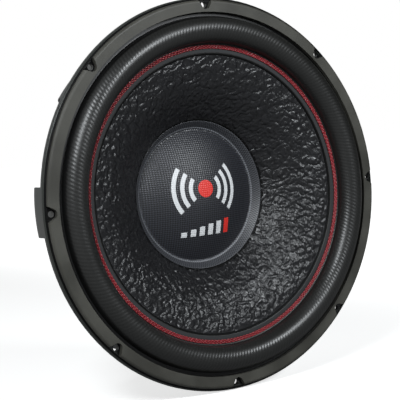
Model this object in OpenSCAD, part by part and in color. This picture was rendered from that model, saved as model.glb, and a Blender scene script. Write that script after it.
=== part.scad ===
// Car subwoofer speaker, 15 inch class, with a dual voice coil and push terminals.
// The speaker's axis is Y: the cone faces -Y and the magnets are at +Y, with +Z up.
// The origin is the centre of the mounting holes, on the rear face of the flange's sheet.
// Every piece is drawn round its own z axis, z being the depth behind that plane, and on_axis()
// then lays it down. Profiles are lists of [radius, depth].

/* [Flange and gaskets] */
// Width of the flange outside the basket's wall
flange_w = 16.5; // [15.5:0.25:20]
// Distance from the flange's edge to the centre of a mounting hole
bolt_inset = 7.5; // [7:0.25:8.5]
// Diameter of a mounting hole
bolt_hole_d = 6; // [5:0.25:6.5]
// Number of mounting holes, one in front of each spoke
bolt_count = 8; // [8:1:9]
// Depth of the flange's turned-back rim, outside
rim_h = 5; // [4:0.25:7]
// Thickness of the front gasket on the flange's face
front_gasket_t = 4.5; // [3:0.25:7]
// Distance from the flange's edge to the front gasket's outer edge
front_gasket_inset = 2.8; // [2.4:0.1:3.5]
// Distance from the surround's roll to the front gasket's inner edge
front_gasket_gap = 4.5; // [3.5:0.1:5.4]
// Rounding of the front gasket's outer edge
front_gasket_round = 2.8; // [1:0.2:2.8]
// Width of a gasket notch at its mouth
notch_w = 17; // [13:0.5:22]
// Radius of a gasket notch round its bolt
notch_r = 4.7; // [4:0.1:5.5]

/* [Basket] */
// Thickness of the basket's steel sheet
sheet_t = 1.6; // [1.2:0.1:2]
// Outside diameter of the basket behind the flange
basket_d = 357; // [340:1:380]
// Depth of the shoulder where the spokes turn inwards
shoulder_depth = 55; // [50:1:60]
// Depth at which the windows begin
collar_h = 22; // [20:1:26]
// Width of a spoke at the shoulder
spoke_w = 48; // [44:1:52]
// Width of a spoke at the spider's landing
spoke_end_w = 36; // [34:1:40]
// Height of the turned-in edge round a window
hem_h = 5; // [3:0.5:7]
// Depth of the landing that carries the spiders
landing_depth = 100; // [97:1:106]
// Depth of the seat for the surround, pressed into the flange
seat_step = 1; // [0.8:0.1:1.4]
// Width of that seat
seat_w = 4.8; // [4:0.1:5.5]
// Width of the spiders' landing outside them
landing_rim = 6; // [4:0.5:8]
// Room between the spider's landing and the basket's base
spider_room = 20; // [18:0.5:26]
// Width of a cooling slot in the neck
slot_w = 34; // [24:1:40]
// Height of a cooling slot in the neck
slot_h = 8; // [6:0.5:9]

/* [Suspension] */
// Width of the roll
roll_w = 24.8; // [23:0.2:26]
// Distance from the basket's wall to the roll's outer foot
roll_inset = 1.6; // [1.2:0.1:2]
// Height of the upright feet that the roll stands on
roll_lift = 2.4; // [1.6:0.2:3]
// Thickness of the surround
surround_t = 1; // [0.8:0.1:1.3]
// How far the surround's lip reaches in over the cone
lip_w = 11.7; // [9:0.1:14]
// Outside diameter of the spiders
spider_d = 200; // [190:1:206]
// Width of a spider's flat rim and the basket's ledge for it
spider_seat_w = 12.6; // [10:0.2:14]
// Thickness of the spider's cloth
spider_t = 0.6; // [0.4:0.1:0.9]
// Height of a corrugation above the spider's plane
spider_wave = 2.6; // [1.5:0.1:3]
// Number of corrugations
spider_waves = 6; // [4:1:7]
// Thickness of the ring between the two spiders
spacer_t = 9; // [7:0.5:10]
// Diameter of the stitching thread
thread_d = 1.6; // [1.2:0.1:1.7]
// Distance from the cone's edge to the middle row of stitching
stitch_inset = 3.7; // [3.5:0.1:5]
// Number of rows of stitching, side by side
stitch_rows = 3; // [2:1:3]

/* [Cone and dust cap] */
// Distance from the surround's roll to the cone's edge
cone_inset = 1; // [0.9:0.1:2.5]
// Thickness of the cone
cone_t = 1.2; // [0.8:0.1:1.6]
// Room between the neck of the cone and the front spider, for the leads
neck_room = 8.5; // [8:0.25:12]
// Depth of the cone's edge behind the mounting plane
cone_edge_depth = 1.5; // [1:0.1:2.5]
// Outside diameter of the dust cap's lip
cap_d = 147; // [144:0.5:150]
// Width of the dust cap's lip, from its edge to the crease round its dome
cap_lip_w = 6.5; // [5:0.25:8]
// Height of the dome above the crease
dome_h = 20; // [14:0.5:26]
// Thickness of the dust cap
cap_t = 0.8; // [0.5:0.1:1]

/* [Voice coil] */
// Outside diameter of the coil's former
former_d = 76; // [75:0.25:77]
// Thickness of the former
former_t = 0.4; // [0.3:0.05:0.6]
// Thickness of the collar that the cone and the spiders are glued to
collar_t = 0.5; // [0.3:0.05:0.7]
// Thickness of each of the two windings
winding_t = 1; // [0.7:0.05:1.2]
// Length of the windings along the former
winding_h = 28; // [20:1:32]
// Running gap on each side of the coil
coil_gap = 0.7; // [0.6:0.05:0.9]
// Diameter of a lead's braided wire
lead_d = 1.6; // [1.2:0.1:1.8]

/* [Motor] */
// Outside diameter of the top plate and the back plate
plate_d = 156; // [152:1:162]
// Thickness of the top plate
top_plate_t = 10; // [8:0.5:12]
// Outside diameter of the ferrite magnets
magnet_d = 180; // [170:1:190]
// Inside diameter of the ferrite magnets
magnet_id = 94; // [90:1:100]
// Thickness of each of the two magnets
magnet_t = 18; // [17:0.5:24]
// Thickness of the back plate
back_plate_t = 10; // [8:0.5:14]
// Diameter of the vent through the pole
vent_d = 28; // [22:1:32]
// Diameter of a screw that holds the basket to the top plate
screw_d = 5; // [4:0.5:6]
// Number of those screws
screw_count = 8; // [6:1:8]

/* [Push terminals] */
// Length of a terminal along its spoke
terminal_l = 36; // [35:0.5:38]
// Width of a terminal across its spoke
terminal_w = 36; // [34.5:0.5:37]
// Height of a terminal's housing above its board
terminal_h = 16; // [15:0.5:18]
// Thickness of the terminal's board
board_t = 1.6; // [1.2:0.1:2]
// Diameter of a button where a finger presses it
button_d = 10; // [9:0.25:10.5]
// Travel of a button
button_travel = 4; // [3:0.25:4.5]
// Radial clearance of a button in its well
button_gap = 0.3; // [0.25:0.05:0.4]
// Diameter of a hole for a speaker wire
wire_hole_d = 4; // [3:0.25:4.25]
// Thickness of the button spring's wire
spring_wire_d = 0.7; // [0.5:0.05:0.75]

/* [Hidden] */
$fn = 96;

glue = 0.15;        // film of glue between pieces that are bonded along a curve
air = 0.3;          // gap between pieces that move against each other
cut = 1;            // how far a cutting shape runs past the face that it cuts
spoke_pitch = 360 / bolt_count;
flange_r = basket_d / 2 + flange_w;
bolt_r = flange_r - bolt_inset;
wall_r = basket_d / 2 - sheet_t;
flange_front = -sheet_t;
gasket_front = flange_front - front_gasket_t;
rim_back = rim_h - sheet_t;
seat_front = flange_front + seat_step;
seat_r = wall_r + seat_w;
surround_edge_r = seat_r - air;
roll_r = wall_r - roll_inset - roll_w / 2;
roll_out_r = roll_r + (roll_w + surround_t) / 2;
front_gasket_r = flange_r - front_gasket_inset;
front_gasket_in_r = roll_out_r + front_gasket_gap;
landing_r = spider_d / 2 + landing_rim;
neck_r = spider_d / 2 - spider_seat_w;
base_depth = landing_depth + spider_room;
base_hole_r = 58;
slope = atan2(landing_depth - shoulder_depth, wall_r - 1 - landing_r);

// Depths of the suspension, from the landing forwards.
rear_spider_z = landing_depth - spider_t / 2;
spacer_back = landing_depth - spider_t;
spacer_front = spacer_back - spacer_t;
front_spider_z = spacer_front - spider_t / 2;
lead_z = front_spider_z - spider_t / 2 - spider_wave - air - lead_d / 2;

// The cone's front face: flat at its edge, a round flare, then straight down to the neck.
cone_r = roll_r - roll_w / 2 - cone_inset;
flare_edge_r = cone_r - 1;
former_r = former_d / 2;
collar_r = former_r + collar_t;
cone_neck_r = collar_r + glue;
cone_neck_depth = front_spider_z - neck_room;
crease_r = cap_d / 2 - cap_lip_w;
lip_r = cone_r - lip_w;
// The slope of the straight part is found by halving, so that it ends at the neck's depth.
function drop(slope) = (flare_edge_r - crease_r) * tan(slope / 2)
    + (crease_r - cone_neck_r) * tan(slope);
function slope_to(depth, low, high, tries) = let (middle = (low + high) / 2)
    tries == 0 ? middle
    : drop(middle) < depth ? slope_to(depth, middle, high, tries - 1)
    : slope_to(depth, low, middle, tries - 1);
neck_slope = slope_to(cone_neck_depth - cone_edge_depth, 10, 85, 40);
flare_r = (flare_edge_r - crease_r) / sin(neck_slope);
function flare_depth(r) = cone_edge_depth + flare_r * (1 - cos(asin((flare_edge_r - r) / flare_r)));
function cone_depth(r) = r >= flare_edge_r ? cone_edge_depth
    : r >= crease_r ? flare_depth(r)
    : flare_depth(crease_r) + (crease_r - r) * tan(neck_slope);
function cone_face(from_r, to_r, n) =
    [for (i = [0:n]) let (r = from_r + (to_r - from_r) * i / n) [r, cone_depth(r)]];
cone_neck_end = cone_neck_depth + 3;

// Depths of the motor, from the base backwards.
top_plate_front = base_depth + sheet_t;
top_plate_back = top_plate_front + top_plate_t;
magnet_split = top_plate_back + magnet_t;
magnet_back = magnet_split + magnet_t;
yoke_back = magnet_back + back_plate_t;
gap_middle = top_plate_front + top_plate_t / 2;
winding_r = former_r + 2 * (glue + winding_t);
gap_r = winding_r + coil_gap;
pole_r = former_r - former_t - coil_gap;
pole_front = top_plate_front - 2;
former_front = cone_neck_depth - 8;
former_back = gap_middle + winding_h / 2 + 1.5;
screw_circle_r = (base_hole_r + plate_d / 2) / 2;
screw_hole_r = screw_d / 2 + 0.1;
screw_depth = 7;

// The terminals sit on the sloping part of two opposite spokes.
terminal_r = (wall_r + landing_r) / 2 + 3;
terminal_z = shoulder_depth + (wall_r - 1 - terminal_r) * tan(slope);
well_t = 9;                               // distance of a button from the terminal's middle
well_r = button_d / 2 + 1.7;
skin_t = 3;                               // thickness of the housing above a button's flange
well_top = board_t + terminal_h - skin_t;
contact_t = 0.5;
button_flange_top = well_top - air;
button_flange_bottom = board_t + contact_t + button_travel + air;
button_flange_h = button_flange_top - button_flange_bottom;
button_top = board_t + terminal_h + button_travel + 1;
pocket_r = 4.5;
pocket_top = button_flange_bottom + 3;
wire_hole_z = button_flange_top - button_flange_h * 0.32 - button_travel;
tag_x = -terminal_l / 2 + 3;
tag_w = 5;
tag_t = 0.8;
tag_drop = 9;                             // how far a tag stands out inside the basket
rivet_x = terminal_l / 2 - 4;
rivet_r = 1.9;
ear_h = 4;
block_l = 2 * (well_r + 2.2);

// ---- Construction helpers ----

// Lays a piece that was drawn round z down on the speaker's axis.
module on_axis() rotate([-90, 0, 0]) children();

// Repeats its children at every spoke, turned by the given share of the pitch.
module at_spokes(share = 0) for (i = [0:bolt_count - 1])
    rotate([0, 0, (i + share) * spoke_pitch]) children();

function unit(v) = v / norm(v);
function right_of(d) = [d.y, -d.x];

// The points of a round bend at b, on the way from a to c.
function bend(a, b, c, r, n = 5) = let (
        u = unit(a - b), w = unit(c - b),
        half = acos(u * w) / 2,
        back = r / tan(half),
        start = b + u * back,
        centre = b + unit(u + w) * r / sin(half),
        turn = 180 - 2 * half,
        sense = sign(u.x * w.y - u.y * w.x))
    [for (i = [0:n]) let (
        angle = -sense * turn * i / n,
        v = start - centre)
        centre + [v.x * cos(angle) - v.y * sin(angle), v.x * sin(angle) + v.y * cos(angle)]];

// A path through corners, each with its own bend radius, from rows of [radius, depth, bend].
function bent(rows) = let (last = len(rows) - 1, p = [for (q = rows) [q.x, q.y]])
    [for (i = [0:last]) each (i == 0 || i == last || rows[i].z == 0
        ? [p[i]] : bend(p[i - 1], p[i], p[i + 1], rows[i].z))];

// The path moved sideways by d, to the right of its direction.
function beside(path, d) = let (last = len(path) - 1)
    [for (i = [0:last]) let (
        a = i == 0 ? right_of(unit(path[1] - path[0])) : right_of(unit(path[i] - path[i - 1])),
        b = i == last ? a : right_of(unit(path[i + 1] - path[i])))
        path[i] + (a + b) * d / (1 + a * b)];

function reversed(v) = [for (i = [len(v) - 1:-1:0]) v[i]];

// A band that lies between two distances from a path.
module band(path, near, far) polygon(concat(beside(path, near), reversed(beside(path, far))));

// A polygon of corners, each rounded with radius r.
module rounded(corners, r) {
    n = len(corners);
    polygon([for (i = [0:n - 1]) each
        bend(corners[(i + n - 1) % n], corners[i], corners[(i + 1) % n], r)]);
}

// A tube of n sides swept along points, closed at both ends.
module tube(points, r, n = 8) {
    last = len(points) - 1;
    rings = [for (i = [0:last]) let (
        along = unit(points[min(i + 1, last)] - points[max(i - 1, 0)]),
        side = unit(cross(along, abs(along.z) < 0.9 ? [0, 0, 1] : [1, 0, 0])),
        up = cross(side, along))
        each [for (k = [0:n - 1]) points[i]
            + r * (cos(360 * k / n) * side + sin(360 * k / n) * up)]];
    polyhedron(rings, concat(
        [[for (k = [0:n - 1]) k]],
        [for (i = [0:last - 1]) each [for (k = [0:n - 1]) let (m = (k + 1) % n)
            [i * n + k, (i + 1) * n + k, (i + 1) * n + m, i * n + m]]],
        [[for (k = [n - 1:-1:0]) last * n + k]]), convexity = 6);
}

// ---- Basket ----

// Front face of the pressed sheet, from the rim's rear edge round to the base's hole.
basket_path = bent([
    [flange_r, rim_back, 0],
    [flange_r, flange_front, sheet_t + 0.6],
    [seat_r + seat_step, flange_front, 0],
    [seat_r, seat_front, 0],
    [wall_r, seat_front, 2.4],
    [wall_r - 1, shoulder_depth, 12],
    [landing_r, landing_depth, 6],
    [neck_r, landing_depth, 2.6],
    [neck_r, base_depth, 3],
    [base_hole_r, base_depth, 0]]);

// A window's outline seen along its own radius: across and depth.
function edge_offset(r, w) = let (half = spoke_pitch / 2)
    sqrt(r * r - w * w / 4) * sin(half) - w / 2 * cos(half);
window_top = edge_offset(wall_r, spoke_w);
window_foot_depth = landing_depth - 9;
window_round = 8;
window_foot = edge_offset(landing_r + 14, spoke_end_w);
function window_corners(grow) = [
    [-window_top - grow, collar_h - grow], [window_top + grow, collar_h - grow],
    [window_top + grow, shoulder_depth], [window_foot + grow, window_foot_depth + grow],
    [-window_foot - grow, window_foot_depth + grow], [-window_top - grow, shoulder_depth]];

// Stands a shape drawn across and depth on the radius of its spoke, cut from r0 to r1.
module through_wall(r0, r1) translate([r0, 0, 0]) rotate([90, 0, 90])
    linear_extrude(r1 - r0) children();

module basket() color("dimgray") on_axis() difference() {
    union() {
        rotate_extrude() band(basket_path, 0, sheet_t);
        intersection() {
            rotate_extrude() band(bent([
                [wall_r, collar_h - 2 * sheet_t, 0], [wall_r - 1, shoulder_depth, 12],
                [landing_r + 4, landing_depth - 4 * tan(slope), 0]]), sheet_t / 2, -hem_h);
            at_spokes(0.5) through_wall(landing_r, flange_r)
                rounded(window_corners(sheet_t), window_round + sheet_t);
        }
    }
    at_spokes(0.5) through_wall(landing_r - hem_h, flange_r)
        rounded(window_corners(0), window_round);
    at_spokes() translate([bolt_r, 0, -rim_h]) cylinder(d = bolt_hole_d, h = 2 * rim_h);
    at_spokes() through_wall(neck_r - cut, neck_r + sheet_t + cut)
        translate([0, (landing_depth + sheet_t + base_depth) / 2])
        rounded([[-slot_w, -slot_h] / 2, [slot_w, -slot_h] / 2, [slot_w, slot_h] / 2,
            [-slot_w, slot_h] / 2], slot_h / 2 - 0.5);
    at_screws() cylinder(r = screw_hole_r, h = 3 * sheet_t, center = true);
    for (side = [90, 270]) on_spoke(side) {
        tag_holes(-sheet_t / 2);
        rivet_holes(sheet_t);
    }
}

module at_screws() for (i = [0:screw_count - 1])
    rotate([0, 0, (i + 0.5) * 360 / screw_count]) translate([screw_circle_r, 0, base_depth])
        children();

module basket_screws() color("silver") on_axis() at_screws() difference() {
    union() {
        translate([0, 0, -screw_d * 0.6]) cylinder(r = screw_d, h = screw_d * 0.6);
        cylinder(d = screw_d, h = sheet_t + screw_depth);
    }
    translate([0, 0, -screw_d]) cylinder(d = screw_d, h = screw_d * 0.7, $fn = 6);
}

// ---- Gaskets ----

// One notch: round about its bolt and flared out to the gasket's edge.
module notch() {
    translate([bolt_r, 0]) circle(notch_r);
    polygon([[bolt_r - notch_r * 0.5, -notch_r * 0.866], [bolt_r - notch_r * 0.5, notch_r * 0.866],
        [front_gasket_r + cut, notch_w / 2], [front_gasket_r + cut, -notch_w / 2]]);
}

module front_gasket() color("darkslategray") on_axis() difference() {
    rotate_extrude() polygon(bent([
        [front_gasket_in_r, flange_front, 0], [front_gasket_in_r, gasket_front, 0],
        [front_gasket_r, gasket_front, front_gasket_round], [front_gasket_r, flange_front, 0]]));
    at_spokes() translate([0, 0, gasket_front - cut]) linear_extrude(front_gasket_t + 2 * cut)
        notch();
}

module rear_gasket() color("black") on_axis() difference() {
    rotate_extrude() polygon([
        [wall_r + sheet_t + 2, seat_step + 0.2], [seat_r + seat_step + 0.7, seat_step + 0.2],
        [seat_r + seat_step + 0.7, 0], [flange_r - sheet_t - 0.8, 0],
        [flange_r - sheet_t - 0.8, rim_back], [wall_r + sheet_t + 2, rim_back]]);
    at_spokes() translate([bolt_r, 0, -cut]) cylinder(r = bolt_hole_d / 2 + 0.4, h = rim_h + cut);
}

// ---- Surround and its stitching ----

roll_z = seat_front - surround_t / 2 - roll_lift;
module surround() color("black") on_axis() rotate_extrude() {
    difference() {
        translate([roll_r, roll_z]) difference() {
            circle(roll_w / 2 + surround_t / 2);
            circle(roll_w / 2 - surround_t / 2);
        }
        translate([roll_r - roll_w, roll_z]) square([2 * roll_w, roll_w]);
    }
    translate([roll_out_r - surround_t, seat_front - surround_t])
        square([surround_edge_r - roll_out_r + surround_t, surround_t]);
    translate([roll_out_r - surround_t, roll_z]) square([surround_t, seat_front - roll_z]);
    translate([roll_r - roll_w / 2 - surround_t / 2, roll_z])
        square([surround_t, cone_edge_depth - air - roll_z]);
    band(cone_face(roll_r - roll_w / 2, lip_r, 8), -air, -air - surround_t);
}

// Rows of thread lie side by side on the surround's lip.
module stitching() color("darkred") on_axis() for (i = [0:stitch_rows - 1]) {
    r = cone_r - stitch_inset + (i - (stitch_rows - 1) / 2) * (thread_d + glue);
    rotate_extrude() translate([r, cone_depth(r) - surround_t - 2 * air - thread_d / 2])
        circle(d = thread_d, $fn = 16);
}

// ---- Cone and dust cap ----

module cone() color([0.08, 0.08, 0.09]) on_axis() rotate_extrude()
    band(concat([[cone_r, cone_edge_depth]], cone_face(flare_edge_r, crease_r, 16),
        [[cone_neck_r, cone_neck_depth], [cone_neck_r, cone_neck_end]]), 0, cone_t);

module dust_cap() color([0.15, 0.15, 0.17]) on_axis() {
    crease_z = cone_depth(crease_r) - glue - cap_t;
    dome_r = (crease_r * crease_r + dome_h * dome_h) / (2 * dome_h);
    rotate_extrude() {
        band(cone_face(cap_d / 2, crease_r - 0.6, 4), -glue, -glue - cap_t);
        intersection() {
            translate([0, crease_z - dome_h + dome_r]) difference() {
                circle(dome_r, $fn = 180);
                circle(dome_r - cap_t, $fn = 180);
            }
            translate([0, crease_z - dome_h - cut]) square([crease_r, dome_h + cut]);
        }
    }
}

// ---- Voice coil ----

module sleeve(r, t, z0, z1) rotate_extrude() translate([r, z0]) square([t, z1 - z0]);

module coil_former() color("black") on_axis()
    sleeve(former_r - former_t, former_t, former_front, former_back);

module coil_collar() color("tan") on_axis()
    sleeve(former_r + glue / 3, collar_t - glue / 3, former_front + 3, landing_depth + 5);

module winding(layer) on_axis() sleeve(former_r + glue + layer * (winding_t + glue), winding_t,
    gap_middle - winding_h / 2, gap_middle + winding_h / 2);
module inner_winding() color("orangered") winding(0);
module outer_winding() color("coral") winding(1);

// ---- Spiders, their spacer and the leads ----

spider_in_r = collar_r + air;
spider_flat_r = neck_r + 2;
// Middle of the cloth, inwards from its edge, with its waves between two flat rings.
function spider_path(z) = let (
        r0 = spider_flat_r, r1 = collar_r + 6, steps = 10 * spider_waves)
    concat([[spider_d / 2, z]],
        [for (i = [0:steps]) [r0 + (r1 - r0) * i / steps,
            z - spider_wave * sin(360 * spider_waves * i / steps)]],
        [[spider_in_r + spider_t / 2, z], [spider_in_r + spider_t / 2, z + 2.4]]);

module spider(z) on_axis() rotate_extrude() band(spider_path(z), -spider_t / 2, spider_t / 2);
module front_spider() color("goldenrod") spider(front_spider_z);
module rear_spider() color("darkgoldenrod") spider(rear_spider_z);

module spider_spacer() color("saddlebrown") on_axis()
    sleeve(spider_flat_r + spider_t, spider_d / 2 + 2 - spider_flat_r - spider_t,
        spacer_front, spacer_back);

// A lead leaves the collar, lies over the front spider, and dips to its tag inside the basket.
tag_r = terminal_r + tag_x * cos(slope) - (sheet_t + 5) * sin(slope);
tag_z = terminal_z - tag_x * sin(slope) - (sheet_t + 5) * cos(slope);
function lead_points(t) = [
    [sqrt(collar_r * collar_r - t * t) + lead_d / 2 + 0.2, t, lead_z], [52, t, lead_z],
    [66, t, lead_z], [80, t, lead_z], [landing_r - 10, t, lead_z],
    [landing_r - 3, t, lead_z - 0.6], [landing_r + 3, t, lead_z - 2.4],
    [tag_r - 7, t, tag_z + 1.5], [tag_r - 2, t, tag_z]];
module leads(side) color("peru") on_axis() rotate([0, 0, side])
    for (t = [-well_t, well_t]) tube(lead_points(t), lead_d / 2);
module top_leads() leads(270);
module bottom_leads() leads(90);

// ---- Motor ----

// A steel or ferrite disc with a bevel on its outer edges.
module disc_profile(r_in, r_out, z0, z1, bevel) polygon([
    [r_in, z0], [r_out - bevel, z0], [r_out, z0 + bevel], [r_out, z1 - bevel],
    [r_out - bevel, z1], [r_in, z1]]);

module top_plate() color("gray") on_axis() difference() {
    rotate_extrude() disc_profile(gap_r, plate_d / 2, top_plate_front, top_plate_back, 1);
    at_screws() cylinder(r = screw_hole_r, h = sheet_t + screw_depth + 0.5);
}

module ferrite(z) on_axis() rotate_extrude()
    disc_profile(magnet_id / 2, magnet_d / 2, z, z + magnet_t, 1.5);
module front_magnet() color([0.2, 0.2, 0.21]) ferrite(top_plate_back);
module rear_magnet() color([0.24, 0.24, 0.25]) ferrite(magnet_split);

// Back plate and pole in one forging, with a vent that flares at both ends.
screen_seat = 2.5;
module yoke() color("gray") on_axis() difference() {
    rotate_extrude() {
        disc_profile(vent_d / 2, plate_d / 2, magnet_back, yoke_back, 2);
        polygon([[vent_d / 2, pole_front], [pole_r - 1, pole_front], [pole_r, pole_front + 1],
            [pole_r, top_plate_back + 4], [pole_r - 2, top_plate_back + 8],
            [pole_r - 2, magnet_back - 6], [pole_r + 2, magnet_back + 1],
            [vent_d / 2, magnet_back + 1]]);
    }
    translate([0, 0, pole_front - 0.01]) cylinder(r1 = vent_d / 2 + 4, r2 = vent_d / 2 - 0.01, h = 6);
    translate([0, 0, yoke_back - screen_seat]) cylinder(r = vent_d / 2 + 3, h = screen_seat + cut);
}

// A pressed-in screen of crossed wires in a thin ring.
module vent_screen() color("silver") on_axis() translate([0, 0, yoke_back - screen_seat])
    linear_extrude(1.2) {
        difference() {
            circle(vent_d / 2 + 2.9);
            circle(vent_d / 2 + 1);
        }
        intersection() {
            circle(vent_d / 2 + 2);
            for (turn = [0, 90], i = [-3:3]) rotate(turn)
                translate([-vent_d, i * vent_d / 7 - 0.4]) square([2 * vent_d, 0.8]);
        }
    }

// ---- Push terminals ----

// Puts a piece on the outside of a spoke's slope: x up the slope, y across, z outwards.
module on_spoke(side) rotate([0, 0, side]) translate([terminal_r, 0, terminal_z])
    rotate([0, slope, 0]) translate([0, 0, sheet_t]) children();

// The slope's sheet lies from z = -sheet_t to 0 here.
module tag_holes(z) for (s = [-1, 1]) translate([tag_x, s * well_t, z])
    cube([tag_t + 1.4, tag_w + 1.4, 3 * sheet_t], center = true);
module rivet_holes(t) for (s = [-1, 1]) translate([s * rivet_x, 0, -2 * t])
    cylinder(r = rivet_r + 0.1, h = 4 * t);

module slab(l, w, h, r) linear_extrude(h)
    rounded([[-l, -w] / 2, [l, -w] / 2, [l, w] / 2, [-l, w] / 2], r);

module terminal_board(side) color("peru") on_axis() on_spoke(side) difference() {
    slab(terminal_l, terminal_w, board_t, 3);
    tag_holes(board_t / 2);
    rivet_holes(board_t);
}
module top_terminal_board() terminal_board(270);
module bottom_terminal_board() terminal_board(90);

// The housing: low ears for the rivets and a block with a stepped well for each button.
module terminal_housing(side) color([0.1, 0.1, 0.1]) on_axis() on_spoke(side)
    translate([0, 0, board_t]) difference() {
        union() {
            slab(terminal_l, terminal_w, ear_h, 3);
            slab(block_l, terminal_w, terminal_h, 2);
        }
        for (s = [-1, 1]) translate([0, s * well_t, 0]) {
            translate([0, 0, -cut]) cylinder(r = well_r, h = terminal_h - skin_t + cut);
            cylinder(r = button_d / 2 + button_gap, h = terminal_h + cut);
            translate([0, 0, wire_hole_z - board_t]) rotate([0, 90, 0])
                cylinder(d = wire_hole_d, h = block_l);
            translate([tag_x - tag_t, -tag_w / 2 - 0.2, -cut])
                cube([-tag_x, tag_w + 0.4, contact_t + 0.3 + cut]);
        }
        for (s = [-1, 1]) translate([s * rivet_x, 0, -cut])
            cylinder(r = rivet_r + 0.1, h = ear_h + 2 * cut);
    }
module top_terminal_housing() terminal_housing(270);
module bottom_terminal_housing() terminal_housing(90);

// Each contact is a disc under its spring, a strip and a solder tag with an eye.
module contacts(side) color("gold") on_axis() on_spoke(side) for (s = [-1, 1])
    translate([0, s * well_t, board_t]) {
        cylinder(r = well_r - 0.6, h = contact_t);
        translate([tag_x - tag_t / 2, -tag_w / 2, 0]) cube([-tag_x, tag_w, contact_t]);
        difference() {
            translate([tag_x - tag_t / 2, -tag_w / 2, -board_t - sheet_t - tag_drop])
                cube([tag_t, tag_w, board_t + sheet_t + tag_drop + contact_t]);
            translate([tag_x, 0, -board_t - sheet_t - tag_drop + 3]) rotate([0, 90, 0])
                cylinder(r = 1.2, h = 2 * tag_t, center = true);
        }
    }
module top_contacts() contacts(270);
module bottom_contacts() contacts(90);

module rivets(side) color("silver") on_axis() on_spoke(side) for (s = [-1, 1])
    translate([s * rivet_x, 0, 0]) {
        translate([0, 0, -sheet_t]) cylinder(r = rivet_r, h = sheet_t + board_t + ear_h);
        translate([0, 0, board_t + ear_h]) cylinder(r1 = rivet_r + 1.5, r2 = rivet_r + 0.5, h = 1.2);
        translate([0, 0, -sheet_t - 0.8]) cylinder(r = rivet_r + 1, h = 0.8);
    }
module top_rivets() rivets(270);
module bottom_rivets() rivets(90);

// A button: a flange that the housing holds in, a stem, a spring pocket and a cross hole.
module button(side, s) on_axis() on_spoke(side) translate([0, s * well_t, 0]) difference() {
    rotate_extrude() polygon([[0, button_flange_bottom], [well_r - button_gap, button_flange_bottom],
        [well_r - button_gap, button_flange_top], [button_d / 2, button_flange_top],
        [button_d / 2, button_top - 1], [button_d / 2 - 1, button_top], [0, button_top]]);
    translate([0, 0, button_flange_bottom - cut])
        cylinder(r = pocket_r, h = pocket_top - button_flange_bottom + cut);
    translate([0, 0, wire_hole_z + button_travel]) rotate([0, 90, 0])
        cylinder(d = wire_hole_d, h = 4 * well_r, center = true);
}
module top_red_button() color("red") button(270, -1);
module top_black_button() color("black") button(270, 1);
module bottom_red_button() color("red") button(90, 1);
module bottom_black_button() color("black") button(90, -1);

spring_r = pocket_r - air - spring_wire_d / 2;
spring_turns = 3;
spring_z0 = board_t + contact_t + spring_wire_d / 2;
spring_z1 = pocket_top - air - spring_wire_d / 2;
module springs(side) color("silver") on_axis() on_spoke(side) for (s = [-1, 1])
    translate([0, s * well_t, 0])
        tube([for (i = [0:10 * spring_turns]) let (share = i / (10 * spring_turns))
            [spring_r * cos(36 * i), spring_r * sin(36 * i),
                spring_z0 + (spring_z1 - spring_z0) * share]], spring_wire_d / 2, 6);
module top_springs() springs(270);
module bottom_springs() springs(90);

// ---- The pieces ----

basket();
front_gasket();
rear_gasket();
surround();
cone();
stitching();
dust_cap();
coil_former();
coil_collar();
inner_winding();
outer_winding();
front_spider();
rear_spider();
spider_spacer();
top_leads();
bottom_leads();
top_plate();
front_magnet();
rear_magnet();
yoke();
vent_screen();
basket_screws();
top_terminal_board();
bottom_terminal_board();
top_terminal_housing();
bottom_terminal_housing();
top_contacts();
bottom_contacts();
top_rivets();
bottom_rivets();
top_red_button();
top_black_button();
bottom_red_button();
bottom_black_button();
top_springs();
bottom_springs();
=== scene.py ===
# A fifteen-inch car subwoofer speaker, finished from the camera to the last gasket.
# Its axis is Y: the cone faces -Y, the magnets are at +Y, and +Z is up.
import math

import bmesh
import bpy
from mathutils import Matrix, Vector, noise
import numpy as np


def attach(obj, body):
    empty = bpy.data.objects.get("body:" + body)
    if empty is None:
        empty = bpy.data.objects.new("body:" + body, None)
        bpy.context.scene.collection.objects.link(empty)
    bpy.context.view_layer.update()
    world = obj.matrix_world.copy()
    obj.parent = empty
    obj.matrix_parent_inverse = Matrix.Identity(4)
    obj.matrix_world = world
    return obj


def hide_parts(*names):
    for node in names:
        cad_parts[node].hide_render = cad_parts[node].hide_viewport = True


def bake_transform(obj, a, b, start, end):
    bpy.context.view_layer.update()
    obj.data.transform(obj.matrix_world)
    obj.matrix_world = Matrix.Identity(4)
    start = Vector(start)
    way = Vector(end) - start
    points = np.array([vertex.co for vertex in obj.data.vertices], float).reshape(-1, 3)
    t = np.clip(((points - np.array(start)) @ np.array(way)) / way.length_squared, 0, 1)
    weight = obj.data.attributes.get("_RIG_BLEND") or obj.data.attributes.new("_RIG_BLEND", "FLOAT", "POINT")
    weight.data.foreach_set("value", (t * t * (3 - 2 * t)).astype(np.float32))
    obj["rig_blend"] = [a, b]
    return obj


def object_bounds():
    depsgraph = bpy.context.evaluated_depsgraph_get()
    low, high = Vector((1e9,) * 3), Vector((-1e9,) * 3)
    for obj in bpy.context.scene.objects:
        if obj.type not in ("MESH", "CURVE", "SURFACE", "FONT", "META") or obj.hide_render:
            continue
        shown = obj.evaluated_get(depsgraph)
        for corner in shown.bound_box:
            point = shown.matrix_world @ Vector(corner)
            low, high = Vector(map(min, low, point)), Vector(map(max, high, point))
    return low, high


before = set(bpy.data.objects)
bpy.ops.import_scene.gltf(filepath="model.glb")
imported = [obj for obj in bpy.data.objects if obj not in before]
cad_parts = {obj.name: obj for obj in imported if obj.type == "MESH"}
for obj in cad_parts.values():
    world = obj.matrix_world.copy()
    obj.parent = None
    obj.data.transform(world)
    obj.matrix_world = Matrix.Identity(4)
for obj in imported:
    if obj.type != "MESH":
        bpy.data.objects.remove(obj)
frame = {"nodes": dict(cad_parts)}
cad_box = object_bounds()
nodes = frame["nodes"]
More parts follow.
